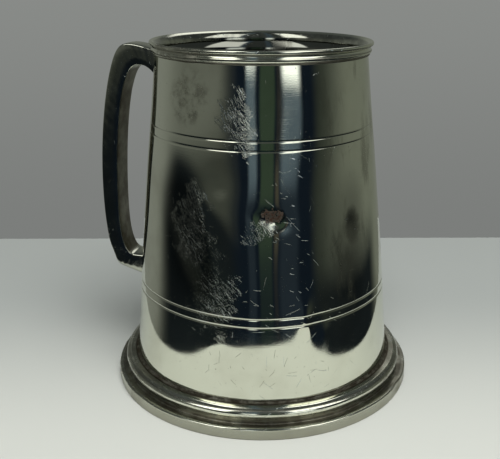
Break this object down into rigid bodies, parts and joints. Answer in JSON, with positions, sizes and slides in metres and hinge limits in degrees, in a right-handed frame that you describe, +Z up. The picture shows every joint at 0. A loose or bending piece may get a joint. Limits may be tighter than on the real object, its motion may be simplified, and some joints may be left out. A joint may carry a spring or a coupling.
{
  "type": "tankard",
  "caption": "Lidless tapered drinking tankard of spun pewter with a flared, beaded lip, a stepped hollow foot and a cast strap handle.",
  "frame": {"origin": "centre of the foot at the table plane, on the drum's axis", "axes": "+Z up along the drum's axis; the handle is on -X and the XZ plane is its middle plane; +Y is to the left of a viewer who faces along +X"},
  "size_m": [0.1138, 0.108, 0.121],
  "materials": {
    "drum": "worn polished pewter",
    "rim": "worn polished pewter",
    "foot": "worn polished pewter with grime in the creases",
    "bottom": "dull spun pewter",
    "handle": "polished cast pewter",
    "solder": "dull solder"
  },
  "bodies": {
    "root": {"body_drum": "drum", "rim_band": "rim", "foot_ring": "foot", "bottom_disc": "bottom", "handle": "handle", "handle_upper_solder": "solder", "handle_lower_solder": "solder", "foot_solder_seam": "solder", "bottom_solder_seam": "solder"}
  },
  "joints": []
}
